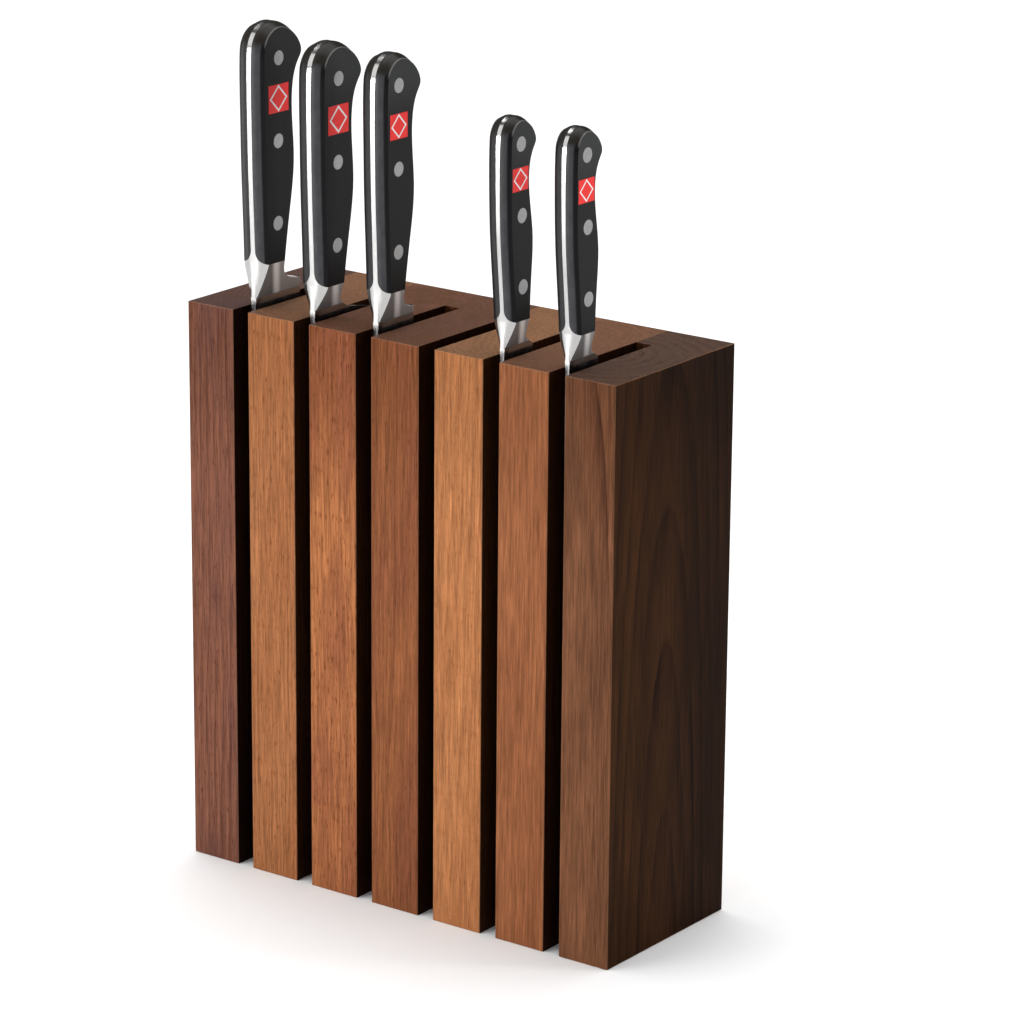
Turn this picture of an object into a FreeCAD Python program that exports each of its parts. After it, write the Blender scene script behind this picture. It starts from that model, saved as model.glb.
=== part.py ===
"""Upright knife block of seven glued boards with six open slots, and five forged knives standing in it.

The origin is the centre of the block's underside. +X runs along the row of boards, +Y to the closed
back of the block, and +Z up. Every length is in millimetres.
"""
import FreeCAD, Part
import math
import os

Vector = FreeCAD.Vector
os.makedirs("parts", exist_ok=True)

# ---- the block
BOARD_COUNT = 7
BOARD_WIDTH = 26.0
SLOT_WIDTH = 8.5
SLOT_DEPTH = 64.0
BLOCK_DEPTH = 89.0
BLOCK_HEIGHT = 262.0
ARRIS = 0.5

# ---- shared by every knife
EDGE_THICKNESS = 0.4
TIP_THICKNESS = 1.2
GRIND_START = 3.0
GRIND_LENGTH = 12.0
BOLSTER_END = 4.0
BOLSTER_TAPER = 1.15
BOLSTER_SWELL = 1.25
WEDGE_DEPTH = 5.0
WEDGE_END_DEPTH = 1.5
OVERLAP = 0.05
REACH = 200.0
GUARD_LEDGE = 1.0
RIVET_RADIUS = 3.25
CROWN_ROUND = 5.0
BADGE_THICKNESS = 0.5
BADGE_SHARE = 0.515
BADGE_SQUAT = 0.91
SERRATION_PITCH = 7.0
SERRATION_DEPTH = 1.2

# ---- derived
SLOT_PITCH = BOARD_WIDTH + SLOT_WIDTH
BLOCK_WIDTH = BOARD_COUNT * BOARD_WIDTH + (BOARD_COUNT - 1) * SLOT_WIDTH
LEFT_X = -BLOCK_WIDTH / 2
FRONT_Y = -BLOCK_DEPTH / 2
SLOT_BACK_Y = FRONT_Y + SLOT_DEPTH
BACK_Y = BLOCK_DEPTH / 2
EIGHTH_TURN = math.radians(45)


class Handle:
    """Outline of a full-tang handle seen from the side, measured back from the blade's spine."""

    def __init__(self, **sizes):
        self.__dict__.update(sizes)


LARGE_HANDLE = Handle(
    length=107.0, half_thickness=7.1, tang=2.3, crown=2.3, crown_run=4.4, bulge=1.9,
    hook=27.9, waist=21.5, belly=22.4, neck=15.7, butt_height=15.1,
    rivet_shares=(0.165, 0.510, 0.854), rivet_depth=8.9, rivet_lean=1.2, badge_forward=0.0,
)
SLIM_HANDLE = Handle(
    length=104.0, half_thickness=6.8, tang=2.3, crown=2.2, crown_run=4.2, bulge=2.1,
    hook=24.8, waist=19.2, belly=20.4, neck=14.2, butt_height=14.6,
    rivet_shares=(0.168, 0.520, 0.871), rivet_depth=7.4, rivet_lean=0.2, badge_forward=0.0,
)
SMALL_HANDLE = Handle(
    length=88.3, half_thickness=5.9, tang=1.9, crown=1.9, crown_run=3.5, bulge=4.0,
    hook=16.8, waist=12.2, belly=15.0, neck=13.5, butt_height=11.9,
    rivet_shares=(0.167, 0.519, 0.869), rivet_depth=6.7, rivet_lean=-2.2, badge_forward=0.9,
)


class Knife:
    """A forged knife: which slot it stands in, how far its spine is set back, and its blade."""

    def __init__(self, name, slot, handle, **sizes):
        self.name = name
        self.slot = slot
        self.handle = handle
        self.__dict__.update(sizes)
        self.half_blade = handle.tang / 2
        self.handle_top = self.bolster_height + handle.length

    def place(self, shape):
        """Moves a shape from the knife's own frame to its slot."""
        shape.translate(Vector(slot_centre(self.slot), FRONT_Y + self.setback, BLOCK_HEIGHT))
        return shape


KNIVES = [
    Knife("bread", 1, LARGE_HANDLE, setback=9.3, bolster_height=19.8, heel_width=31.0,
          heel_height=8.3, guard_width=31.0, guard_height=8.3, blade_length=230.0,
          tip_width=24.0, spine_straight=0.80, edge_straight=0.93, serrated=True, badge=13.7),
    Knife("chef", 2, LARGE_HANDLE, setback=8.0, bolster_height=15.2, heel_width=44.0,
          heel_height=-2.3, guard_width=24.0, guard_height=1.8, blade_length=200.0,
          tip_width=9.0, spine_straight=0.45, edge_straight=0.25, serrated=False, badge=14.0),
    Knife("carving", 3, SLIM_HANDLE, setback=8.9, bolster_height=17.5, heel_width=25.2,
          heel_height=7.2, guard_width=25.2, guard_height=7.2, blade_length=200.0,
          tip_width=7.0, spine_straight=0.60, edge_straight=0.50, serrated=False, badge=12.2),
    Knife("utility", 5, SMALL_HANDLE, setback=7.9, bolster_height=15.7, heel_width=20.8,
          heel_height=2.4, guard_width=20.8, guard_height=2.4, blade_length=120.0,
          tip_width=6.0, spine_straight=0.55, edge_straight=0.40, serrated=False, badge=11.0),
    Knife("paring", 6, SMALL_HANDLE, setback=7.3, bolster_height=15.8, heel_width=20.9,
          heel_height=2.6, guard_width=20.9, guard_height=2.6, blade_length=90.0,
          tip_width=6.0, spine_straight=0.50, edge_straight=0.35, serrated=False, badge=11.2),
]


def slot_centre(slot):
    """X of the middle of a slot, counted from 1 at the left."""
    return LEFT_X + slot * SLOT_PITCH - SLOT_WIDTH / 2


def polygon(points):
    return Part.Wire(Part.makePolygon(points + [points[0]]))


def export(shape, node):
    shape.exportStep("parts/" + node + ".step")
    print(node, "solids", len(shape.Solids), "valid", shape.isValid(), "volume", round(shape.Volume, 1))


# ---- boards


def board(index):
    """One board, full height. All but the first are rebated on the left, which forms a slot."""
    left = LEFT_X + (index - 1) * SLOT_PITCH
    right = left + BOARD_WIDTH
    glue_left = left if index == 1 else left - SLOT_WIDTH
    outline = [Vector(left, FRONT_Y, 0), Vector(right, FRONT_Y, 0), Vector(right, BACK_Y, 0),
               Vector(glue_left, BACK_Y, 0)]
    if index > 1:
        outline += [Vector(glue_left, SLOT_BACK_Y, 0), Vector(left, SLOT_BACK_Y, 0)]
    solid = Part.Face(polygon(outline)).extrude(Vector(0, 0, BLOCK_HEIGHT))
    return solid.makeFillet(ARRIS, [e for e in solid.Edges if is_outer_edge(e)])


def is_outer_edge(edge):
    """True for the edges that are eased after gluing: never those of a glue joint or inside a slot."""
    middle = edge.CenterOfMass
    box = edge.BoundBox
    at_front = abs(middle.y - FRONT_Y) < 0.01
    at_back = abs(middle.y - BACK_Y) < 0.01
    at_side = abs(abs(middle.x) - BLOCK_WIDTH / 2) < 0.01
    runs_up = box.ZLength > BLOCK_HEIGHT / 2
    if runs_up:
        return at_front or (at_side and at_back)
    return at_front or at_back or at_side


# ---- handles


def outline_points(knife):
    """Side outline of the handle, from the bolster up the spine, round the butt and down the belly."""
    h = knife.handle
    base = knife.bolster_height
    depth = h.hook + h.bulge

    def along(y, share):
        return Vector(0, y, base + share * h.length)

    def butt(share, drop):
        return Vector(0, share * depth - h.bulge, knife.handle_top - drop * h.butt_height)

    spine = [along(0, 0), along(-0.35 * h.bulge, 0.19), along(-0.78 * h.bulge, 0.40), along(-h.bulge, 0.64)]
    end = [butt(0, 1), butt(0.035, 0.55), butt(0.16, 0.20), butt(0.42, 0), butt(0.72, 0.17),
           butt(0.925, 0.54), butt(1, 1)]
    under_hook = [Vector(0, h.waist + 0.50 * (h.hook - h.waist), knife.handle_top - 1.36 * h.butt_height),
                  Vector(0, h.waist + 0.03 * (h.hook - h.waist), knife.handle_top - 1.95 * h.butt_height)]
    belly = [along(h.belly, 0.42), along((h.neck + h.belly) / 2, 0.19), along(h.neck, 0)]
    return spine + end + under_hook + belly


def handle_body(knife):
    """The whole handle as one crowned solid. The tang, the scales and the bolster's root are cut from it."""
    h = knife.handle
    curve = Part.BSplineCurve()
    curve.interpolate(outline_points(knife))
    foot = Part.makeLine(Vector(0, h.neck, knife.bolster_height), Vector(0, 0, knife.bolster_height))
    wire = Part.Wire([curve.toShape(), foot])
    wire.translate(Vector(-h.half_thickness, 0, 0))
    body = Part.Face(wire).extrude(Vector(2 * h.half_thickness, 0, 0))
    rims = [e for e in body.Edges if e.Length > h.length and abs(e.CenterOfMass.x) > h.half_thickness / 2]
    body = body.makeChamfer(h.crown_run, h.crown, rims)
    ridge = h.half_thickness - h.crown_run
    ridges = [e for e in body.Edges if e.Length > h.length and abs(abs(e.CenterOfMass.x) - ridge) < 0.05]
    return body.makeFillet(CROWN_ROUND, ridges)


def root_block(knife):
    """What lies below the scales, one solid a side: a shoulder that rises to the tang in a quarter circle."""
    h = knife.handle
    base = knife.bolster_height
    sweep = h.half_thickness - h.tang / 2
    margin = 2.0

    def side(sign):
        inner = sign * h.tang / 2
        outer = sign * h.half_thickness
        middle = Vector(outer - sign * sweep * math.sin(EIGHTH_TURN), 0,
                        base + sweep * (1 - math.cos(EIGHTH_TURN)))
        arc = Part.Arc(Vector(outer, 0, base), middle, Vector(inner, 0, base + sweep)).toShape()
        far = outer + sign * margin
        rest = Part.makePolygon([Vector(inner, 0, base + sweep), Vector(0, 0, base + sweep),
                                 Vector(0, 0, base - margin), Vector(far, 0, base - margin),
                                 Vector(far, 0, base), Vector(outer, 0, base)])
        wire = Part.Wire([arc] + rest.Edges)
        wire.translate(Vector(0, -2 * h.bulge, 0))
        return Part.Face(wire).extrude(Vector(0, h.hook + 4 * h.bulge, 0))

    return [side(1), side(-1)]


def tang_slab(half):
    """A slab about a knife's middle plane, taller and deeper than any handle."""
    return Part.makeBox(2 * half, 2 * REACH, 2 * REACH, Vector(-half, -REACH, -REACH))


def rivet_places(knife):
    """Side-view places of the three rivets, lowest first. The row may lean away from the blade's spine."""
    h = knife.handle
    first = h.rivet_shares[0]
    span = h.rivet_shares[-1] - first
    return [Vector(0, h.rivet_depth + h.rivet_lean * (share - first) / span,
                   knife.bolster_height + share * h.length)
            for share in h.rivet_shares]


def rivets(knife):
    h = knife.handle
    near_face = Vector(h.half_thickness, 0, 0)
    pins = [Part.makeCylinder(RIVET_RADIUS, 2 * h.half_thickness, place - near_face, Vector(1, 0, 0))
            for place in rivet_places(knife)]
    return Part.Compound(pins)


def badge(knife):
    """A thin, nearly square inlay, flush with the right scale's face between the upper two rivets."""
    middle, upper = rivet_places(knife)[1:]
    centre = middle + (upper - middle) * BADGE_SHARE - Vector(0, knife.handle.badge_forward, 0)
    height = BADGE_SQUAT * knife.badge
    low = Vector(knife.handle.half_thickness - BADGE_THICKNESS, centre.y - knife.badge / 2,
                 centre.z - height / 2)
    return Part.makeBox(BADGE_THICKNESS, knife.badge, height, low)


def scale(knife, body, sign):
    """One half of the grip. sign is +1 for the right scale and -1 for the left."""
    h = knife.handle
    corner = Vector(-REACH if sign > 0 else 0, -REACH, -REACH)
    other_side = Part.makeBox(REACH, 2 * REACH, 2 * REACH, corner)
    solid = body.cut(other_side).cut(tang_slab(h.tang / 2))
    for shoulder in root_block(knife):
        solid = solid.cut(shoulder)
    solid = solid.cut(rivets(knife))
    return solid.cut(badge(knife)) if sign > 0 else solid


# ---- blades


def guard_depth(knife, z):
    """How far back the bolster reaches at a height: a quarter ellipse from the handle's neck to the guard."""
    neck = knife.handle.neck
    drop = min(1.0, max(0.0, (knife.bolster_height - z) / (knife.bolster_height - knife.guard_height)))
    return neck + (knife.guard_width - neck) * (1 - math.sqrt(1 - drop * drop))


def bolster_section(knife, foot, share):
    """Level outline of the bolster, share of the way from the shoulder (0) to where the blade starts (1).

    It is the handle's own foot, whose spine side and belly side keep their shape as they draw in.
    """
    h = knife.handle
    z = knife.bolster_height * (1 - share) + BOLSTER_END * share
    half = h.half_thickness + (BOLSTER_SWELL * knife.half_blade - h.half_thickness) * share ** BOLSTER_TAPER
    back = guard_depth(knife, z) - GUARD_LEDGE * math.sqrt(share)
    spine_side = [e.copy() for e in foot.Edges if e.BoundBox.YMax < h.neck / 2]
    belly_side = [e.copy() for e in foot.Edges if e.BoundBox.YMin > h.neck / 2]
    for edge in spine_side + belly_side:
        centre = Vector(0, h.neck if edge in belly_side else 0, knife.bolster_height)
        edge.scale(half / h.half_thickness, centre)
        edge.translate(Vector(0, back if edge in belly_side else 0, z) - centre)
    spine = Part.Wire(Part.__sortEdges__(spine_side))
    belly = Part.Wire(Part.__sortEdges__(belly_side))
    sides = [Part.makeLine(side_end(spine, sign), side_end(belly, sign)) for sign in (1, -1)]
    return Part.Wire(Part.__sortEdges__(spine.Edges + belly.Edges + sides))


def side_end(wire, sign):
    """The end of a bolster outline's spine or belly side: the right one where sign is +1."""
    return max(wire.Vertexes, key=lambda vertex: sign * vertex.X).Point


def bolster(knife, body):
    """The swelling from the blade's thickness to the handle's, and the shoulders under the scales."""
    foot = min(body.Faces, key=lambda face: face.CenterOfMass.z)
    sections = [bolster_section(knife, foot, share) for share in (0.0, 0.25, 0.5, 0.75, 1.0)]
    swelling = Part.makeLoft(sections, True)
    spine_wedge = Part.makeLoft([wedge_section(knife, BOLSTER_END), wedge_section(knife, 0.0)], True, True)
    shoulders = [body.common(shoulder) for shoulder in root_block(knife)]
    return [swelling, spine_wedge] + shoulders


def wedge_section(knife, z):
    """The V that runs the bolster out along the blade's spine, below the rest of the bolster."""
    share = z / BOLSTER_END
    half = knife.half_blade * (1.0 + (BOLSTER_SWELL - 1.0) * share) + OVERLAP
    back = WEDGE_END_DEPTH + (WEDGE_DEPTH - WEDGE_END_DEPTH) * share
    return polygon([Vector(-half, 0, z), Vector(half, 0, z), Vector(knife.half_blade, back, z),
                    Vector(-knife.half_blade, back, z)])


def serrated_edge(knife, low, high):
    """A row of shallow scallops up the cutting edge, from one height to another."""
    count = round((high - low) / SERRATION_PITCH)
    step = (high - low) / count
    edges = []
    for i in range(count):
        start = low + i * step
        hollow = Vector(0, knife.heel_width - SERRATION_DEPTH, start + step / 2)
        edges.append(Part.Arc(Vector(0, knife.heel_width, start), hollow,
                              Vector(0, knife.heel_width, start + step)).toShape())
    return edges


def blade_profile(knife):
    """Side outline of the blade, its heel and its guard, up to the handle's foot."""
    width = knife.heel_width
    length = knife.blade_length
    top = knife.bolster_height
    tip = Vector(0, knife.tip_width, -length)
    spine_end = Vector(0, 0, -knife.spine_straight * length)
    edge_end = Vector(0, width, -knife.edge_straight * length)
    spine_bow = Vector(0, 0.28 * knife.tip_width, (spine_end.z + tip.z) / 2)
    edge_bow = Vector(0, tip.y + 0.69 * (width - tip.y), tip.z + 0.40 * (edge_end.z - tip.z))
    heel = Vector(0, width, knife.heel_height)
    guard = Vector(0, knife.guard_width, knife.guard_height)
    neck = Vector(0, knife.handle.neck, top)
    guard_bow = Vector(0, neck.y + (guard.y - neck.y) * (1 - math.cos(EIGHTH_TURN)),
                       top - (top - guard.z) * math.sin(EIGHTH_TURN))
    edges = [Part.makeLine(Vector(0, 0, top), spine_end), Part.Arc(spine_end, spine_bow, tip).toShape(),
             Part.Arc(tip, edge_bow, edge_end).toShape()]
    if knife.serrated:
        plain_top = -GRIND_START - GRIND_LENGTH
        edges += serrated_edge(knife, edge_end.z, plain_top)
        edges.append(Part.makeLine(Vector(0, width, plain_top), heel))
    else:
        edges.append(Part.makeLine(edge_end, heel))
    if heel.sub(guard).Length > 0.01:
        edges.append(Part.makeLine(heel, guard))
    edges.append(Part.Arc(guard, guard_bow, neck).toShape())
    edges.append(Part.makeLine(neck, Vector(0, 0, top)))
    return Part.Wire(edges)


def grind_section(knife, z, at_spine, at_edge):
    """Level outline that the blade is ground to: half thickness at the spine and at the cutting edge."""
    front = -1.0
    back = knife.heel_width + 1.0
    return polygon([Vector(-at_spine, front, z), Vector(at_spine, front, z), Vector(at_edge, back, z),
                    Vector(-at_edge, back, z)])


def blade_plate(knife):
    """The blade: full thickness beside the bolster, then ground thin towards the edge and the tip."""
    thick = knife.half_blade
    thin = EDGE_THICKNESS / 2
    ricasso = grind_section(knife, -GRIND_START, thick, thick)
    sections = [grind_section(knife, knife.bolster_height + 1, thick, thick), ricasso,
                grind_section(knife, -GRIND_START - GRIND_LENGTH, thick, thin),
                grind_section(knife, -knife.blade_length - 1, TIP_THICKNESS / 2, thin / 2)]
    ground = Part.makeLoft(sections, True, True)
    profile = blade_profile(knife)
    profile.translate(Vector(-thick, 0, 0))
    return Part.Face(profile).extrude(Vector(2 * thick, 0, 0)).common(ground)


def blade(knife, body):
    """The one-piece forging: blade, bolster and the full tang between the scales."""
    solid = blade_plate(knife).fuse(body.common(tang_slab(knife.half_blade)))
    for piece in bolster(knife, body):
        solid = solid.fuse(piece)
    return solid.cut(rivets(knife))


# ---- everything


def build():
    for index in range(1, BOARD_COUNT + 1):
        export(board(index), "board_" + str(index))
    for knife in KNIVES:
        body = handle_body(knife)
        export(knife.place(blade(knife, body)), knife.name + "_blade")
        export(knife.place(scale(knife, body, -1)), knife.name + "_scale_left")
        export(knife.place(scale(knife, body, 1)), knife.name + "_scale_right")
        export(knife.place(rivets(knife)), knife.name + "_rivets")
        export(knife.place(badge(knife)), knife.name + "_badge")


build()
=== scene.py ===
"""The looks of the knife block: oiled wood, forged steel, black handles, and a plain white studio."""
import math
import bpy
from mathutils import Matrix, Vector


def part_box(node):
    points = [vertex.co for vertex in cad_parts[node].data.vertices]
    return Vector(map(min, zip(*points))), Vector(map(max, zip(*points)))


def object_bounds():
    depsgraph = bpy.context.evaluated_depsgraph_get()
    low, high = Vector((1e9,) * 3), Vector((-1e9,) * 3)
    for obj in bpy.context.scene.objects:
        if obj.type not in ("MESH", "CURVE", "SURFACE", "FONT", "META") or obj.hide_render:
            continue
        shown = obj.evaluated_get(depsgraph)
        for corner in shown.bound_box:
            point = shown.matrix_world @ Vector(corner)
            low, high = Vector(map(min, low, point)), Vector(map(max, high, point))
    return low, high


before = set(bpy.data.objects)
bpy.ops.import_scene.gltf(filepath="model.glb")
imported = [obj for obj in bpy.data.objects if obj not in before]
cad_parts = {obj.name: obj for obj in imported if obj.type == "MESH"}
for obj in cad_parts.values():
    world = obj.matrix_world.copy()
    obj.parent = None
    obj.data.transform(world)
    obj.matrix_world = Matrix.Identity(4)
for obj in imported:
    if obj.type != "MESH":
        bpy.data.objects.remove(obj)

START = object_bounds()
LOW, HIGH = Vector(START[0]), Vector(START[1])
CENTRE = (LOW + HIGH) / 2
MM = 0.001
KNIVES = ("bread", "chef", "carving", "utility", "paring")
BOARDS = tuple("board_" + str(index) for index in range(1, 8))


def link(thing):
    bpy.context.scene.collection.objects.link(thing)


# ---- camera


YAW, PITCH, ROLL = 36.33, 16.90, 0.47
LENS = 157.1
DISTANCE = 1.976
# how far the camera's aim is from the middle of the object, to the right and up, in metres
AIM_RIGHT, AIM_UP = 0.0246, -0.0187


def view_axes(yaw, pitch, roll):
    """Right, up and forward of a camera turned yaw to the left of +Y, pitch below level and rolled."""
    forward = Vector((-math.cos(pitch) * math.sin(yaw),
                      math.cos(pitch) * math.cos(yaw),
                      -math.sin(pitch)))
    level = Vector((math.cos(yaw), math.sin(yaw), 0))
    upright = level.cross(forward)
    right = level * math.cos(roll) + upright * math.sin(roll)
    up = upright * math.cos(roll) - level * math.sin(roll)
    return right, up, forward


def make_camera():
    right, up, forward = view_axes(math.radians(YAW), math.radians(PITCH), math.radians(ROLL))
    aim = CENTRE + AIM_RIGHT * right + AIM_UP * up
    data = bpy.data.cameras.new("camera")
    data.sensor_width = 36
    data.lens = LENS
    data.clip_start = 0.05
    data.clip_end = 100
    camera = bpy.data.objects.new("camera", data)
    turn = Matrix((right, up, -forward)).transposed().to_4x4()
    camera.matrix_world = Matrix.Translation(aim - DISTANCE * forward) @ turn
    link(camera)
    bpy.context.scene.camera = camera


# ---- light and floor


def area_light(name, place, power, width, height):
    data = bpy.data.lights.new(name, "AREA")
    data.shape = "RECTANGLE"
    data.size = width
    data.size_y = height
    data.energy = power
    light = bpy.data.objects.new(name, data)
    light.location = place
    light.rotation_euler = (CENTRE - Vector(place)).to_track_quat("-Z", "Y").to_euler()
    link(light)


def soft_sun(name, direction, strength, spread):
    """A sun as wide as a softbox, so that the whole floor is lit evenly. direction is to the light."""
    data = bpy.data.lights.new(name, "SUN")
    data.energy = strength
    data.angle = math.radians(spread)
    light = bpy.data.objects.new(name, data)
    light.rotation_euler = Vector(direction).to_track_quat("Z", "Y").to_euler()
    link(light)


def make_studio():
    world = bpy.data.worlds.new("studio")
    world.use_nodes = True
    background = world.node_tree.nodes["Background"].inputs
    background["Color"].default_value = (0.96, 0.98, 1.0, 1)
    background["Strength"].default_value = 0.04
    bpy.context.scene.world = world
    area_light("key", (-0.85, -1.7, 0.30), 22, 0.9, 0.55)
    area_light("front_top", (-1.2, -1.1, 1.3), 7, 1.2, 1.2)
    area_light("fill", (1.6, 0.9, 0.75), 8, 0.3, 1.2)
    soft_sun("overhead", (-0.10, 0.12, 1.0), 3.55, 60)
    bpy.context.scene.view_settings.view_transform = "Standard"
    bpy.context.scene.view_settings.look = "None"


FLOOR_REACH = 30.0


def make_floor():
    mesh = bpy.data.meshes.new("floor")
    corners = [(FLOOR_REACH * x, FLOOR_REACH * y, 0) for x, y in ((-1, -1), (1, -1), (1, 1), (-1, 1))]
    mesh.from_pydata(corners, [], [(0, 1, 2, 3)])
    floor = bpy.data.objects.new("floor", mesh)
    link(floor)
    nodes = Nodes("floor_paper")
    nodes.shader["Base Color"].default_value = (0.93, 0.93, 0.93, 1)
    nodes.shader["Roughness"].default_value = 0.9
    nodes.shader["Specular IOR Level"].default_value = 0.0
    mesh.materials.append(nodes.material)


# ---- shader building


class Nodes:
    """A material under construction: short calls for the few kinds of node that the materials use."""

    def __init__(self, name):
        self.material = bpy.data.materials.new(name)
        self.material.use_nodes = True
        self.tree = self.material.node_tree
        self.shader = self.tree.nodes["Principled BSDF"].inputs
        self.place = self.add("ShaderNodeTexCoord").outputs["Object"]

    def add(self, kind, **settings):
        node = self.tree.nodes.new(kind)
        for key, value in settings.items():
            setattr(node, key, value)
        return node

    def feed(self, socket, value):
        if isinstance(value, bpy.types.NodeSocket):
            self.tree.links.new(value, socket)
        else:
            socket.default_value = value

    def math(self, operation, first, second=0.0, third=0.0):
        node = self.add("ShaderNodeMath", operation=operation)
        for socket, value in zip(node.inputs, (first, second, third)):
            self.feed(socket, value)
        return node.outputs[0]

    def vector(self, operation, first, second=(0, 0, 0)):
        node = self.add("ShaderNodeVectorMath", operation=operation)
        self.feed(node.inputs[0], first)
        self.feed(node.inputs[1], second)
        return node.outputs["Value" if operation in ("LENGTH", "DOT_PRODUCT") else "Vector"]

    def noise(self, place, scale, detail=2.0, roughness=0.5):
        """Noise from 0 to 1, about 0.5. scale is the bumps per millimetre along X, Y and Z."""
        node = self.add("ShaderNodeTexNoise")
        self.feed(node.inputs["Vector"], self.vector("MULTIPLY", place, scale))
        node.inputs["Scale"].default_value = 1.0
        node.inputs["Detail"].default_value = detail
        node.inputs["Roughness"].default_value = roughness
        return node.outputs["Fac"]

    def span(self, value, low, high, out_low=0.0, out_high=1.0):
        """value from low to high becomes out_low to out_high, smoothly and held at the ends."""
        node = self.add("ShaderNodeMapRange", interpolation_type="SMOOTHSTEP")
        for socket, number in zip(node.inputs, (value, low, high, out_low, out_high)):
            self.feed(socket, number)
        return node.outputs[0]

    def mix(self, share, first, second, blend="MIX"):
        node = self.add("ShaderNodeMix", data_type="RGBA", blend_type=blend)
        self.feed(node.inputs["Factor"], share)
        for name, colour in (("A", first), ("B", second)):
            linked = isinstance(colour, bpy.types.NodeSocket)
            self.feed(node.inputs[name], colour if linked else (*colour, 1))
        return node.outputs["Result"]

    def darken(self, share, colour, factor):
        """colour, multiplied by a factor colour over a share of the surface."""
        return self.mix(share, colour, self.mix(1.0, colour, factor, "MULTIPLY"))

    def split(self, vector):
        node = self.add("ShaderNodeSeparateXYZ")
        self.feed(node.inputs[0], vector)
        return node.outputs

    def normal(self):
        """The X, Y and Z of the surface's direction."""
        return self.split(self.add("ShaderNodeNewGeometry").outputs["Normal"])

    def grey(self, value):
        """A number as a grey colour, to multiply a colour with."""
        node = self.add("ShaderNodeCombineColor")
        for socket in node.inputs:
            self.feed(socket, value)
        return node.outputs[0]

    def bump(self, height, distance, strength=1.0):
        node = self.add("ShaderNodeBump")
        node.inputs["Strength"].default_value = strength
        node.inputs["Distance"].default_value = distance
        self.feed(node.inputs["Height"], height)
        self.feed(self.shader["Normal"], node.outputs["Normal"])


def millimetres(nodes, origin=(0, 0, 0)):
    """The shading point in millimetres, from an origin that is given in metres."""
    offset = nodes.vector("SUBTRACT", nodes.place, origin)
    return nodes.vector("MULTIPLY", offset, (1000, 1000, 1000))


# ---- wood


# what a dark part of the wood multiplies the colour by, and the painted shade that darkens the faces
# inside the slots
TOP_DARKENING_SHADE = (0.43, 0.37, 0.31)
DASH_SHADE = (0.55, 0.42, 0.36)
CURL_SHADE = (0.72, 0.62, 0.52)
SLOT_PAINTED_SHADE = (0.11, 0.10, 0.09)
# painted shade on the block's right face, at its front and at its back
RIGHT_PAINTED_SHADE_FRONT, RIGHT_PAINTED_SHADE_BACK = (0.31, 0.285, 0.18), (0.15, 0.145, 0.13)
# end grain, in the pores and between them
PORE_SHADE, END_SHADE = (0.54, 0.63, 0.70), (0.76, 0.90, 1.04)
PALE_EDGE = (0.34, 0.19, 0.11)
# how far each board is darker towards its top
TOP_DARKENING = {"board_1": 0.5, "board_2": 0.3, "board_3": 1.0, "board_4": 0.6,
        "board_5": 0.4, "board_6": 0.25, "board_7": 0.6}
WOODS = {
    # board: light and dark growth, the tint of the broad patches, the pith's place and lean, the width
    # of a ring in millimetres, then the strength of the rings, flecks and curl
    "board_1": dict(light=(0.190, 0.076, 0.046), dark=(0.085, 0.030, 0.020), tint=(0.125, 0.052, 0.040),
                    pith=(38, 60), lean=(0.01, 0.0), ring=2.6, line=0.75, fleck=0.55, curl=0.0),
    "board_2": dict(light=(0.330, 0.132, 0.054), dark=(0.200, 0.072, 0.028), tint=(0.290, 0.108, 0.042),
                    pith=(-60, 45), lean=(0.0, 0.01), ring=1.9, line=0.50, fleck=0.70, curl=0.1),
    "board_3": dict(light=(0.385, 0.145, 0.054), dark=(0.175, 0.056, 0.024), tint=(0.220, 0.072, 0.036),
                    pith=(50, 75), lean=(-0.01, 0.0), ring=1.7, line=0.60, fleck=0.90, curl=0.0),
    "board_4": dict(light=(0.250, 0.090, 0.036), dark=(0.130, 0.042, 0.020), tint=(0.185, 0.062, 0.030),
                    pith=(-45, 50), lean=(0.02, 0.0), ring=3.2, line=0.55, fleck=0.45, curl=0.0),
    "board_5": dict(light=(0.420, 0.172, 0.068), dark=(0.260, 0.090, 0.034), tint=(0.360, 0.140, 0.054),
                    pith=(30, 55), lean=(0.02, 0.02), ring=3.4, line=0.65, fleck=0.45, curl=0.6),
    "board_6": dict(light=(0.280, 0.104, 0.044), dark=(0.160, 0.054, 0.024), tint=(0.225, 0.080, 0.034),
                    pith=(-34, 60), lean=(0.03, 0.01), ring=5.4, line=0.70, fleck=0.15, curl=0.0),
    "board_7": dict(light=(0.180, 0.074, 0.036), dark=(0.055, 0.019, 0.011), tint=(0.100, 0.042, 0.021),
                    pith=(-9, 41), lean=(-0.09, 0.0), ring=6.2, line=1.0, fleck=0.06, curl=0.0, wavy=1.0),
}


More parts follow.
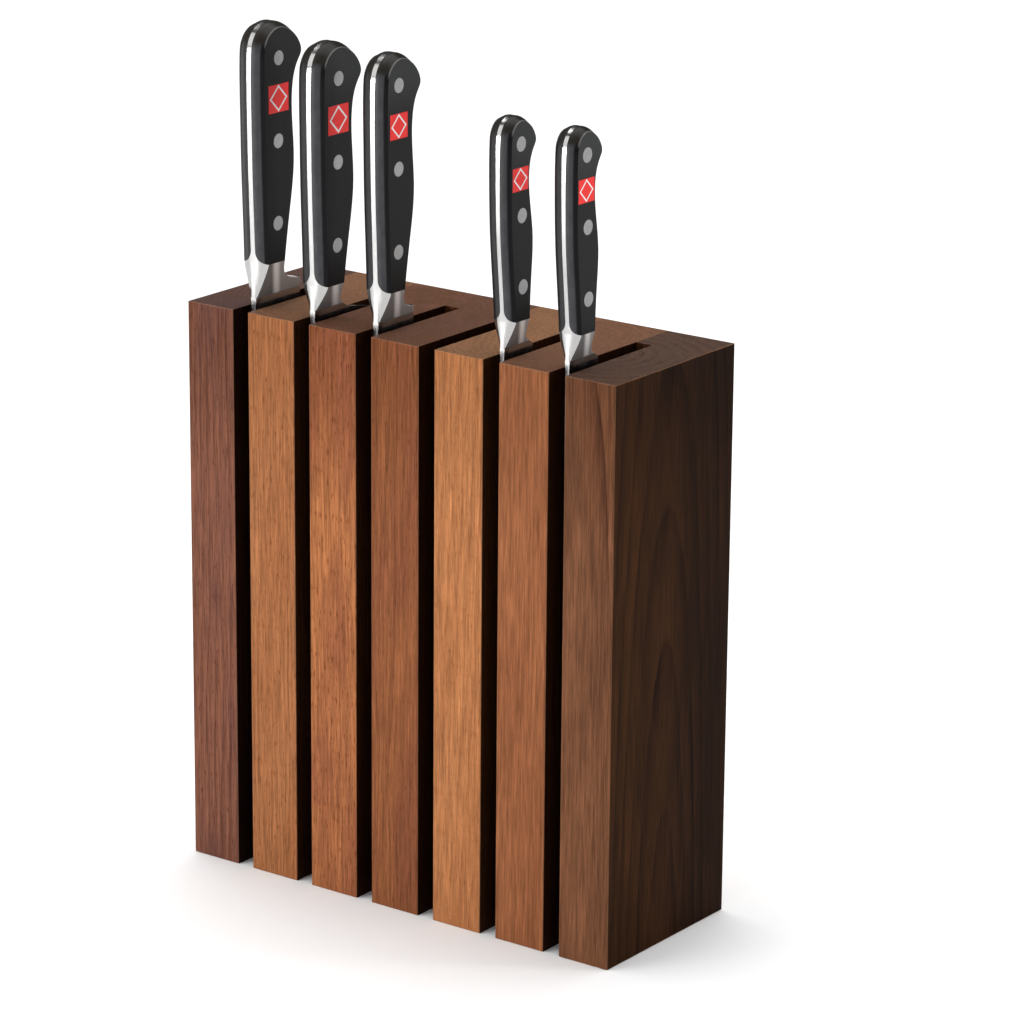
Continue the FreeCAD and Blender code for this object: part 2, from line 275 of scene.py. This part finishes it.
def wood(board, light, dark, tint, pith, lean, ring, line, fleck, curl, wavy=3.2):
    """Oiled wood that runs through the board: rings about a leaning pith, fibres, flecks, end grain, and
    painted shade inside the slots and on the block's right face.

    pith is from the board's front right foot, along X and Y. lean is how far it shifts per height.
    """
    low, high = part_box(board)
    nodes = Nodes(board + "_wood")
    seed = 7.0 * int(board[-1])
    spot = millimetres(nodes, (high.x, low.y, 0))
    x, y, z = nodes.split(spot)
    # rings, each of which darkens slowly and ends sharply
    wander = nodes.noise(nodes.vector("ADD", spot, (seed, seed, seed)), (0.035, 0.035, 0.006), 2.0)
    across = nodes.math("ADD", x, nodes.math("MULTIPLY_ADD", z, -lean[0], -pith[0]))
    along = nodes.math("ADD", y, nodes.math("MULTIPLY_ADD", z, -lean[1], -pith[1]))
    radius = nodes.math("SQRT", nodes.math("ADD", nodes.math("MULTIPLY", across, across),
                                           nodes.math("MULTIPLY", along, along)))
    radius = nodes.math("MULTIPLY_ADD", wander, wavy * ring, radius)
    growth = nodes.math("FRACT", nodes.math("DIVIDE", radius, ring))
    late = nodes.math("POWER", growth, 2.6)
    late = nodes.math("MULTIPLY", late, nodes.span(growth, 0.93, 1.0, 1.0, 0.0))
    uneven = nodes.noise(nodes.vector("ADD", spot, (3 * seed, 0, 0)), (0.12, 0.12, 0.01), 3.0)
    late = nodes.math("MULTIPLY", late, nodes.span(uneven, 0.3, 0.7, 0.45 * line, 1.35 * line))
    colour = nodes.mix(late, light, dark)
    # darker towards the top, down to a ragged line
    height = (high.z - low.z) / MM
    ragged = nodes.math("ADD", z, nodes.math("MULTIPLY", uneven, 60.0))
    toward_top = nodes.span(ragged, height - 60.0, height + 30.0)
    colour = nodes.darken(nodes.math("MULTIPLY", toward_top, TOP_DARKENING[board]), colour, TOP_DARKENING_SHADE)
    # broad patches, fibres and streaks, then short dashes and the curl
    shifted = nodes.vector("ADD", spot, (0, seed, 2 * seed))
    patches = nodes.noise(shifted, (0.06, 0.06, 0.012), 3.0, 0.6)
    colour = nodes.mix(nodes.span(patches, 0.38, 0.66, 0.0, 0.75), colour, tint)
    fibre = nodes.noise(spot, (2.6, 2.6, 0.075), 4.0, 0.62)
    shifted = nodes.vector("ADD", spot, (5 * seed, 0, 0))
    streak = nodes.noise(shifted, (0.80, 0.80, 0.030), 3.0, 0.7)
    for shade in (nodes.span(fibre, 0.25, 0.75, 0.72, 1.26), nodes.span(streak, 0.28, 0.72, 0.70, 1.27)):
        colour = nodes.mix(1.0, colour, nodes.grey(shade), "MULTIPLY")
    dash = nodes.noise(nodes.vector("ADD", spot, (0, 0, 11 * seed)), (1.3, 1.3, 0.20), 1.0)
    colour = nodes.darken(nodes.span(dash, 0.58, 0.70, 0.0, fleck), colour, DASH_SHADE)
    ripple = nodes.noise(spot, (0.10, 0.10, 0.85), 2.0)
    colour = nodes.darken(nodes.span(ripple, 0.55, 0.70, 0.0, 0.35 * curl), colour, CURL_SHADE)
    # painted shade: the faces inside the slots, and the block's right face, are darkened by the way they
    # face
    normal = nodes.normal()
    sides = [nodes.math("ABSOLUTE", part) for part in normal]
    shade = SLOT_PAINTED_SHADE
    if board == BOARDS[-1]:
        # painted shade on the right face, deeper towards the back
        shade = nodes.mix(nodes.span(y, 8.0, 84.0), RIGHT_PAINTED_SHADE_FRONT, RIGHT_PAINTED_SHADE_BACK)
    colour = nodes.darken(nodes.span(normal[0], 0.80, 0.97), colour, shade)
    if board != BOARDS[0]:
        # painted shade on the slot walls that face left
        colour = nodes.darken(nodes.span(normal[0], -0.97, -0.80, 1.0, 0.0), colour, SLOT_PAINTED_SHADE)
    # end grain, and edges paler in uneven patches
    end_grain = nodes.span(sides[2], 0.75, 0.98)
    pores = nodes.noise(spot, (1.1, 1.1, 0.3), 3.0, 0.7)
    end_colour = nodes.mix(nodes.span(pores, 0.35, 0.65), PORE_SHADE, END_SHADE)
    colour = nodes.darken(end_grain, colour, end_colour)
    flat = nodes.math("MAXIMUM", nodes.math("MAXIMUM", sides[0], sides[1]), sides[2])
    pale_edge = nodes.math("MULTIPLY", nodes.span(flat, 0.86, 0.985, 1.0, 0.0),
                      nodes.span(uneven, 0.35, 0.6, 0.35, 0.9))
    colour = nodes.mix(nodes.math("MULTIPLY", pale_edge, 0.40), colour, PALE_EDGE)
    nodes.feed(nodes.shader["Base Color"], colour)
    nodes.feed(nodes.shader["Specular IOR Level"], nodes.span(end_grain, 0.0, 1.0, 0.02, 0.26))
    nodes.feed(nodes.shader["Roughness"], nodes.span(fibre, 0.2, 0.8, 0.46, 0.62))
    relief = nodes.math("MULTIPLY_ADD", nodes.math("ADD", late, dash), -0.35, fibre)
    nodes.bump(relief, 0.00012, 0.7)
    return nodes.material


# ---- knives


# how far each handle bows out in front of the blade's spine, and its depth at the bolster, in
# millimetres
NECKS = {"bread": (1.9, 15.7), "chef": (1.9, 15.7), "carving": (2.1, 14.2),
         "utility": (4.0, 13.5), "paring": (4.0, 13.5)}
# the painted reflection bands on the bolster's cheeks start this far above the block, in millimetres
CHEEK_REFLECTION_FOOT = 4.0
# how far the painted reflection bands move back for each millimetre that the bolster narrows
CHEEK_REFLECTION_LEAN = 1.2


def steel(knife):
    """Forged steel, ground with fine lines along the knife. The bolster's cheeks have upright bands of
    painted reflection, bright in the middle and dark at each edge, and are barely metallic so that the
    painted bands show.
    """
    low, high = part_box(knife + "_scale_right")
    bow, neck = NECKS[knife]
    foot = (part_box("board_1")[1].z - low.z) / MM + CHEEK_REFLECTION_FOOT
    outer = (high.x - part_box(knife + "_scale_left")[0].x) / 2
    nodes = Nodes(knife + "_steel")
    spot = millimetres(nodes)
    lines = nodes.noise(spot, (9.0, 9.0, 0.10), 3.0, 0.7)
    cloud = nodes.noise(spot, (0.35, 0.35, 0.12), 2.0)
    colour = nodes.mix(nodes.span(lines, 0.3, 0.7), (0.38, 0.375, 0.37), (0.46, 0.455, 0.45))
    x, y, z = nodes.split(millimetres(nodes, (high.x - outer, low.y, low.z)))
    # painted reflection: the bolster's cheeks carry a bright upright band with dark edges, and lose most
    # of their metallic
    cheek = nodes.math("MULTIPLY", nodes.span(nodes.math("ABSOLUTE", nodes.normal()[0]), 0.70, 0.85),
                       nodes.span(z, foot - 0.8, foot + 0.8))
    taper = nodes.math("SUBTRACT", outer / MM, nodes.math("ABSOLUTE", x))
    behind = nodes.math("MULTIPLY_ADD", taper, -CHEEK_REFLECTION_LEAN, nodes.math("SUBTRACT", y, bow))
    across = nodes.math("DIVIDE", behind, neck)
    rise = nodes.span(across, 0.26, 0.45, 0.50, 2.2)
    fall = nodes.span(across, 0.53, 0.70, 1.0, 0.45)
    cheek_painted_reflection = nodes.mix(1.0, colour, nodes.grey(nodes.math("MULTIPLY", rise, fall)), "MULTIPLY")
    nodes.feed(nodes.shader["Base Color"], nodes.mix(cheek, colour, cheek_painted_reflection))
    nodes.feed(nodes.shader["Metallic"], nodes.span(cheek, 0.0, 1.0, 1.0, 0.12))
    nodes.feed(nodes.shader["Roughness"], nodes.math("ADD", nodes.span(cloud, 0.3, 0.7, 0.16, 0.22),
                                                     nodes.span(lines, 0.3, 0.8, 0.0, 0.04)))
    nodes.bump(lines, 0.00001, 0.3)
    return nodes.material


def scale_plastic(knife, side):
    """Black moulded handle scale, a little cloudy, with painted light: a painted sheen towards the top
    and on the crown, painted shade along the front bevel, and painted highlights on the spine's bevel and
    the crown's rim.
    """
    low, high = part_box(knife + "_scale_" + side)
    nodes = Nodes(knife + "_plastic_" + side)
    spot = millimetres(nodes)
    cloud = nodes.noise(spot, (0.30, 0.30, 0.15), 3.0, 0.6)
    grit = nodes.noise(spot, (5.0, 5.0, 3.0), 2.0, 0.6)
    scuff = nodes.noise(spot, (3.0, 0.5, 0.5), 3.0, 0.7)
    normal = nodes.normal()
    outside = high.x if side == "right" else low.x
    x, _, z = nodes.split(millimetres(nodes, (outside, 0, high.z)))
    inset = nodes.math("ABSOLUTE", x)
    bevel = nodes.span(nodes.math("ABSOLUTE", normal[0]), 0.70, 0.90, 1.0, 0.0)
    front = nodes.math("MULTIPLY", bevel, nodes.span(normal[1], -0.60, -0.35, 1.0, 0.0))
    crown = nodes.math("MULTIPLY", bevel, nodes.span(normal[2], 0.15, 0.45))
    colour = nodes.mix(nodes.span(cloud, 0.3, 0.7), (0.0045, 0.0045, 0.0045), (0.009, 0.0085, 0.0085))
    # painted sheen: the side face paler towards the top, weaker on the bread knife
    top_painted_sheen = 0.4 if knife == "bread" else 1.0
    colour = nodes.mix(nodes.span(z, -34.0, -7.0, 0.0, top_painted_sheen), colour, (0.034, 0.035, 0.036))
    # painted shade along the front-facing bevel
    colour = nodes.mix(front, colour, (0.004, 0.004, 0.005))
    # painted highlight on the spine's bevel, dimmer on the left scale
    grey = nodes.mix(nodes.span(cloud, 0.3, 0.7), (0.044, 0.044, 0.048), (0.058, 0.058, 0.063))
    if side == "left":
        grey = nodes.mix(1.0, grey, (0.55, 0.54, 0.52), "MULTIPLY")
    colour = nodes.mix(nodes.math("MULTIPLY", front, nodes.span(inset, 1.3, 2.3)), colour, grey)
    # painted sheen on the crown's bevel, and a pale painted highlight along its rim
    colour = nodes.mix(crown, colour, (0.019, 0.0165, 0.014))
    ring = nodes.math("MULTIPLY", crown, nodes.span(inset, 0.25, 0.75, 0.8, 0.0))
    colour = nodes.mix(ring, colour, (0.16, 0.16, 0.155))
    nodes.feed(nodes.shader["Base Color"], colour)
    nodes.shader["Specular IOR Level"].default_value = 0.10
    nodes.feed(nodes.shader["Roughness"], nodes.math("ADD", nodes.span(cloud, 0.3, 0.7, 0.32, 0.42),
                                                     nodes.span(scuff, 0.55, 0.75, 0.0, 0.10)))
    nodes.bump(grit, 0.00003, 0.6)
    return nodes.material


def rivet_metal():
    """Rivet heads ground flush with the scales, with short straight scratches."""
    nodes = Nodes("rivet_metal")
    spot = millimetres(nodes)
    scratch = nodes.noise(spot, (4.0, 7.0, 0.6), 3.0, 0.7)
    colour = nodes.mix(nodes.span(scratch, 0.3, 0.7), (0.20, 0.20, 0.20), (0.32, 0.32, 0.32))
    nodes.feed(nodes.shader["Base Color"], colour)
    nodes.shader["Metallic"].default_value = 1.0
    nodes.feed(nodes.shader["Roughness"], nodes.span(scratch, 0.3, 0.7, 0.32, 0.46))
    nodes.bump(scratch, 0.00003, 0.5)
    return nodes.material


def badge_enamel(node):
    """Red enamel with a thin white diamond outline, drawn from the badge's own middle and size."""
    low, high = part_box(node)
    size = (high.y - low.y) / MM
    nodes = Nodes(node + "_enamel")
    _, y, z = nodes.split(millimetres(nodes, (low + high) / 2))
    reach = nodes.math("ADD", nodes.math("ABSOLUTE", y), nodes.math("ABSOLUTE", z))
    outside = nodes.span(reach, 0.430 * size, 0.445 * size)
    inside = nodes.span(reach, 0.345 * size, 0.360 * size)
    line = nodes.math("SUBTRACT", inside, outside)
    nodes.feed(nodes.shader["Base Color"], nodes.mix(line, (0.95, 0.018, 0.016), (0.95, 0.92, 0.91)))
    speck = nodes.noise(millimetres(nodes), (2.0, 2.0, 2.0), 2.0)
    nodes.shader["Specular IOR Level"].default_value = 0.2
    nodes.feed(nodes.shader["Roughness"], nodes.span(speck, 0.3, 0.7, 0.28, 0.38))
    nodes.bump(line, 0.00002, 0.5)
    return nodes.material


def paint(node, material):
    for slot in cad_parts[node].material_slots:
        slot.material = material


def dress_knives():
    pins = rivet_metal()
    for knife in KNIVES:
        paint(knife + "_blade", steel(knife))
        for side in ("left", "right"):
            paint(knife + "_scale_" + side, scale_plastic(knife, side))
        paint(knife + "_rivets", pins)
        paint(knife + "_badge", badge_enamel(knife + "_badge"))


def dress_block():
    for board in BOARDS:
        paint(board, wood(board, **WOODS[board]))


# ---- everything


make_camera()
make_studio()
make_floor()
dress_block()
dress_knives()
